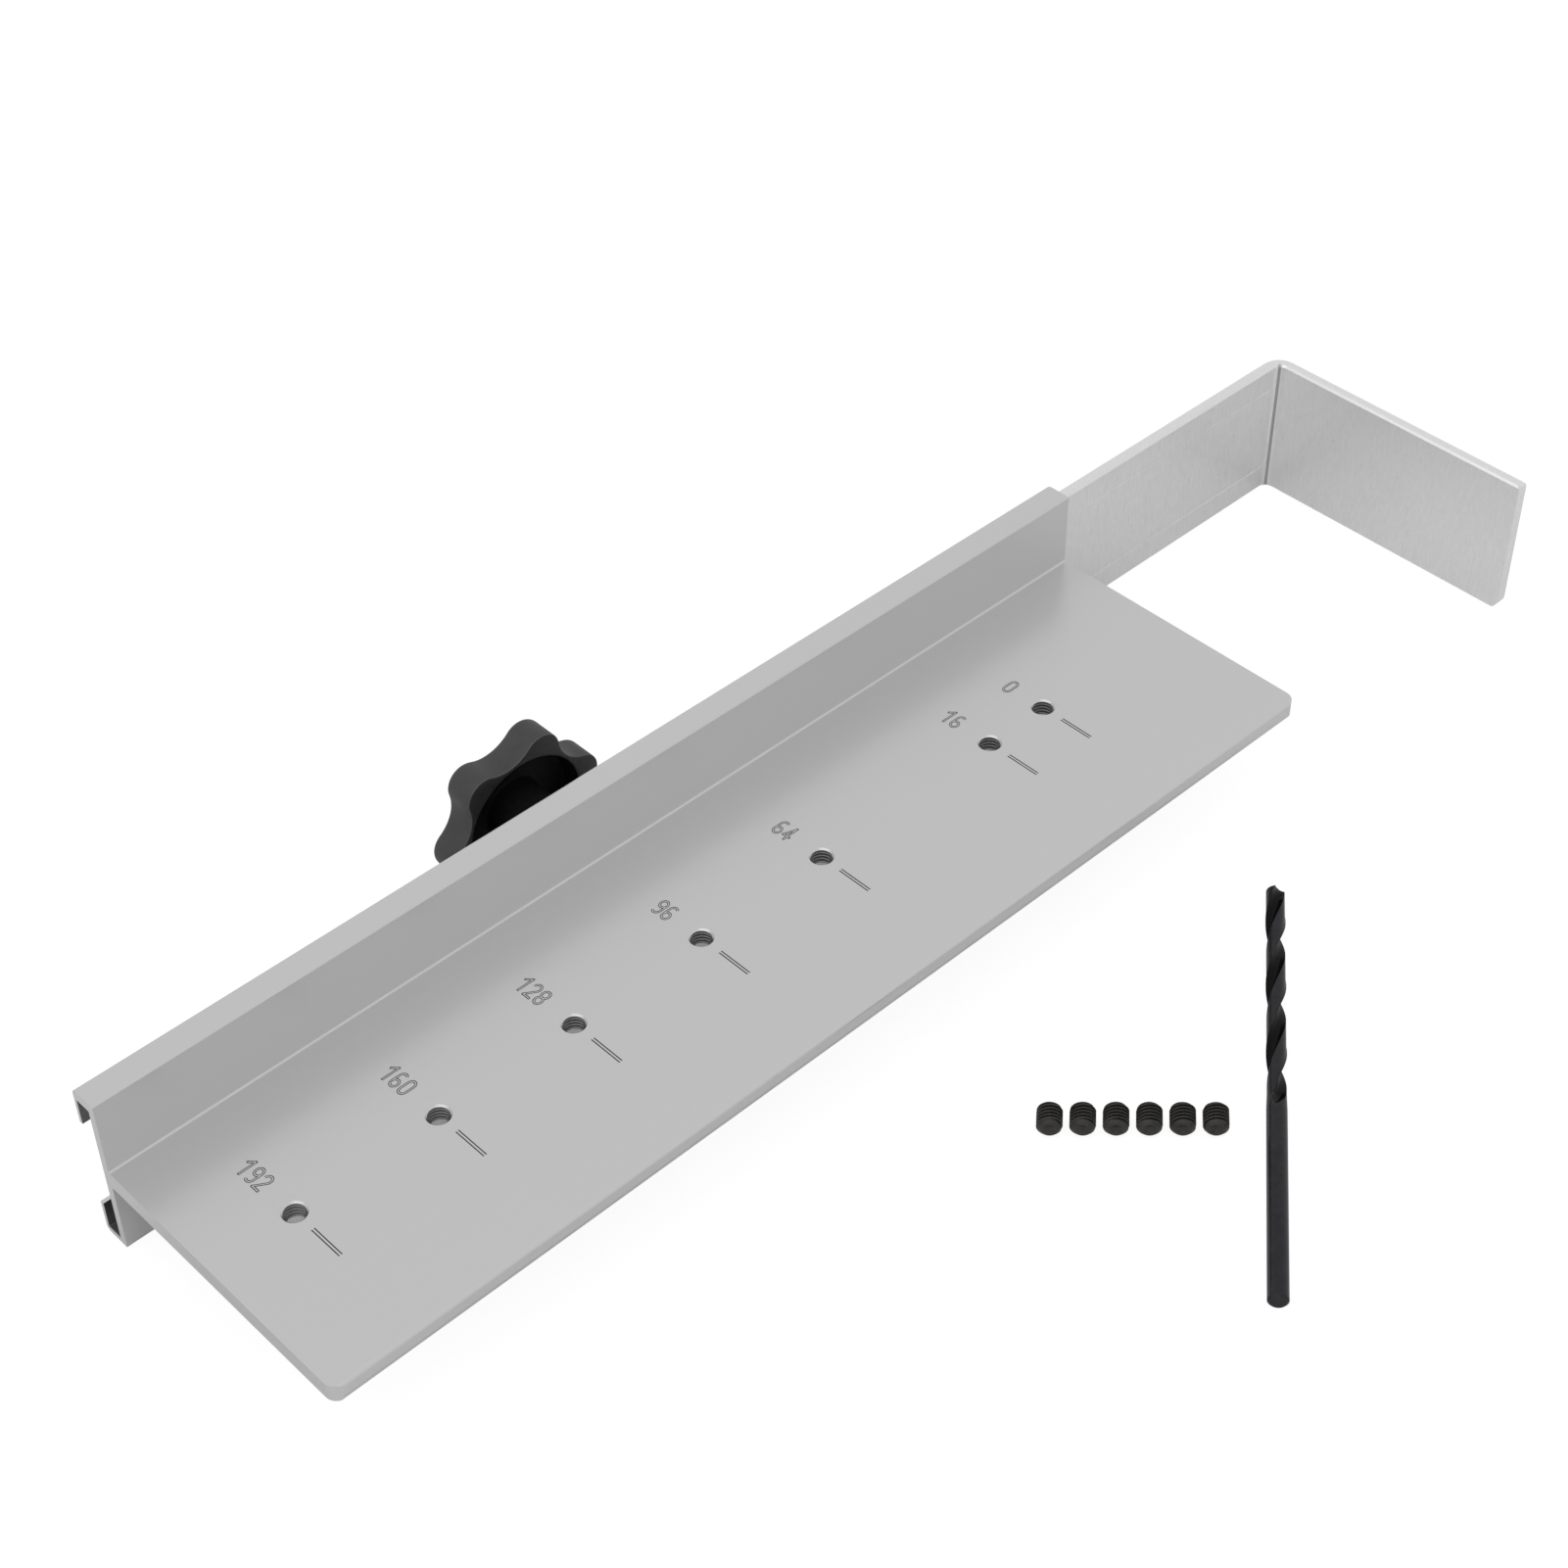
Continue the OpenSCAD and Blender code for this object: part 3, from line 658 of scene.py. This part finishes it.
def make_screw(name, roll, outside, inside):
    """One skin from the cup end over the thread to the bottom of the socket."""
    angles = [2 * math.pi * i / SCREW_SIDES for i in range(SCREW_SIDES)]
    face_r = SCREW_R - CUP_BEVEL
    steps = round(SCREW_L / SCREW_STEP)
    rings = [
        lathe_ring(CUP_PIT_R, CUP_D, angles),
        lathe_ring(CUP_R, SCREW_EDGE, angles),
        lathe_ring(CUP_R + SCREW_EDGE, 0, angles),
        lathe_ring(face_r - SCREW_EDGE, 0, angles),
    ]
    for k in range(1, steps):
        z = SCREW_L * k / steps
        cone = min(face_r + z, SCREW_R - SOCKET_BEVEL + (SCREW_L - z))
        ring = []
        for a in angles:
            radius = min(thread_radius(a + roll, z), cone)
            ring.append((radius * math.cos(a), radius * math.sin(a), z))
        rings.append(ring)
    rings += [
        lathe_ring(SCREW_R - SOCKET_BEVEL - SCREW_EDGE, SCREW_L, angles),
        lathe_ring(MOUTH_R, SCREW_L, angles),
        hexagon(roll, angles, SCREW_L - (MOUTH_R - SOCKET_HALF_AF)),
        hexagon(roll, angles, SCREW_L - SOCKET_D),
        lathe_ring(SOCKET_PIT_R, SCREW_L - SOCKET_D - SOCKET_HALF_AF / 2, angles),
    ]
    bm = bmesh.new()
    loft(bm, rings)
    low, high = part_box(name)
    middle = ((low.x + high.x) / 2, (low.y + high.y) / 2)
    # Painted shade: the faces in the thread's roots take a much darker copy of the black oxide
    second_inside(bm, SCREW_R - THREAD_D / 2, CUP_BEVEL, SCREW_L - SOCKET_BEVEL)
    lay_down(bm, middle, SCREW_TURN, SCREW_L, SCREW_R)
    finishes = [outside, inside]
    piece = new_piece("threaded_" + name, bm, finishes, body=name, node=name)
    sharpen(piece, SCREW_CREASE)


# Stage

def add_floor():
    """A pale floor that is white where the camera sees it, keeps the object's shadow, and glows less in
    a painted shadow under the plate.
    """
    shader = Shader("studio_floor")
    shader.set(Base_Color=even(FLOOR_TONE) + (1,), Roughness=0.9)
    glow = shader.add("ShaderNodeEmission")
    glow.inputs["Color"].default_value = (1, 1, 1, 1)
    glow.inputs["Strength"].default_value = FLOOR_GLOW
    path = shader.add("ShaderNodeLightPath")
    mix = shader.add("ShaderNodeMixShader")
    # Painted shadow: within the patch under the plate the camera sees less of the glow
    shadow = shader.within(*PAINTED_SHADOW_UNDER_PLATE)
    glowing = shader.ramp(shadow, low=GLOW_SHARE, high=PAINTED_SHADOW_GLOW_SHARE, start=0.0, end=1.0)
    seen = shader.calc("MULTIPLY", path.outputs["Is Camera Ray"], glowing)
    mirrored = shader.calc("MULTIPLY", path.outputs["Is Glossy Ray"], MIRRORED_GLOW_SHARE)
    shader.link(shader.calc("ADD", seen, mirrored), mix.inputs["Fac"])
    shader.link(shader.surface.outputs["BSDF"], mix.inputs[1])
    shader.link(glow.outputs["Emission"], mix.inputs[2])
    shader.link(mix.outputs["Shader"], shader.tree.nodes["Material Output"].inputs["Surface"])
    bm = bmesh.new()
    corners = [(-1, -1), (1, -1), (1, 1), (-1, 1)]
    bm.faces.new([bm.verts.new((x * FLOOR_HALF, y * FLOOR_HALF, FLOOR_Z)) for x, y in corners])
    mesh = bpy.data.meshes.new("floor")
    bm.to_mesh(mesh)
    bm.free()
    mesh.materials.append(shader.material)
    floor = bpy.data.objects.new("floor", mesh)
    bpy.context.scene.collection.objects.link(floor)


def add_key_lamp():
    data = bpy.data.lights.new("key", "AREA")
    data.energy = KEY_POWER
    data.shape = "DISK"
    data.size = KEY_SIZE
    lamp = bpy.data.objects.new("key", data)
    lamp.location = KEY_PLACE
    toward = Vector(CAMERA_AIM) - Vector(KEY_PLACE)
    lamp.rotation_euler = toward.to_track_quat("-Z", "Y").to_euler()
    bpy.context.scene.collection.objects.link(lamp)


def add_world():
    """An even sky, white where the camera sees it, dimmer where it lights or is mirrored."""
    world = bpy.data.worlds.new("studio")
    world.use_nodes = True
    tree = world.node_tree
    background = tree.nodes["Background"]
    background.inputs["Color"].default_value = (1, 1, 1, 1)
    path = tree.nodes.new("ShaderNodeLightPath")
    level = tree.nodes.new("ShaderNodeMath")
    level.operation = "MULTIPLY_ADD"
    level.inputs[1].default_value = MIRRORED_SKY - SKY_LEVEL
    level.inputs[2].default_value = SKY_LEVEL
    seen = tree.nodes.new("ShaderNodeMath")
    seen.operation = "MULTIPLY_ADD"
    seen.inputs[1].default_value = 1 - SKY_LEVEL
    tree.links.new(path.outputs["Is Glossy Ray"], level.inputs[0])
    tree.links.new(path.outputs["Is Camera Ray"], seen.inputs[0])
    tree.links.new(level.outputs["Value"], seen.inputs[2])
    tree.links.new(seen.outputs["Value"], background.inputs["Strength"])
    bpy.context.scene.world = world


def main():
    add_camera()
    add_floor()
    add_world()
    add_key_lamp()
    finish("rail", anodised_aluminium())
    finish("stop_bar", brushed_bar())
    zinc = bright_zinc()
    finish("clamp_stud", zinc)
    finish("clamp_washer", zinc)
    finish("knob_insert", turned_brass())
    make_knob(moulded_plastic(), hollow_painted_shade_plastic())
    make_drill(
        black_oxide("black_oxide_land", "drill_bit", tint=(0.3, 0.3, 0.36), rough=0.2, ior=1.32),
        # The flute copy is the same black oxide darkened as painted shade
        black_oxide("black_oxide_flute_painted_shade", "drill_bit", tint=(0.05, 0.05, 0.06), rough=0.25, ior=1.2),
    )
    # Crests and roots are one black oxide: the crests a lighter copy, the roots darkened as painted
    # shade
    crest = black_oxide("black_oxide_crest", "grub_screw", tint=(0.65, 0.62, 0.54), rough=0.3, ior=1.38)
    root_painted_shade = black_oxide("black_oxide_root_painted_shade", "grub_screw", tint=(0.06, 0.06, 0.05), rough=0.5, ior=1.15)
    screws = sorted(name for name in frame["nodes"] if name.startswith("grub_screw"))
    for i, name in enumerate(screws):
        make_screw(name, FIRST_ROLL + ROLL_STEP * i, crest, root_painted_shade)
    bpy.context.scene.view_settings.view_transform = "Standard"


main()
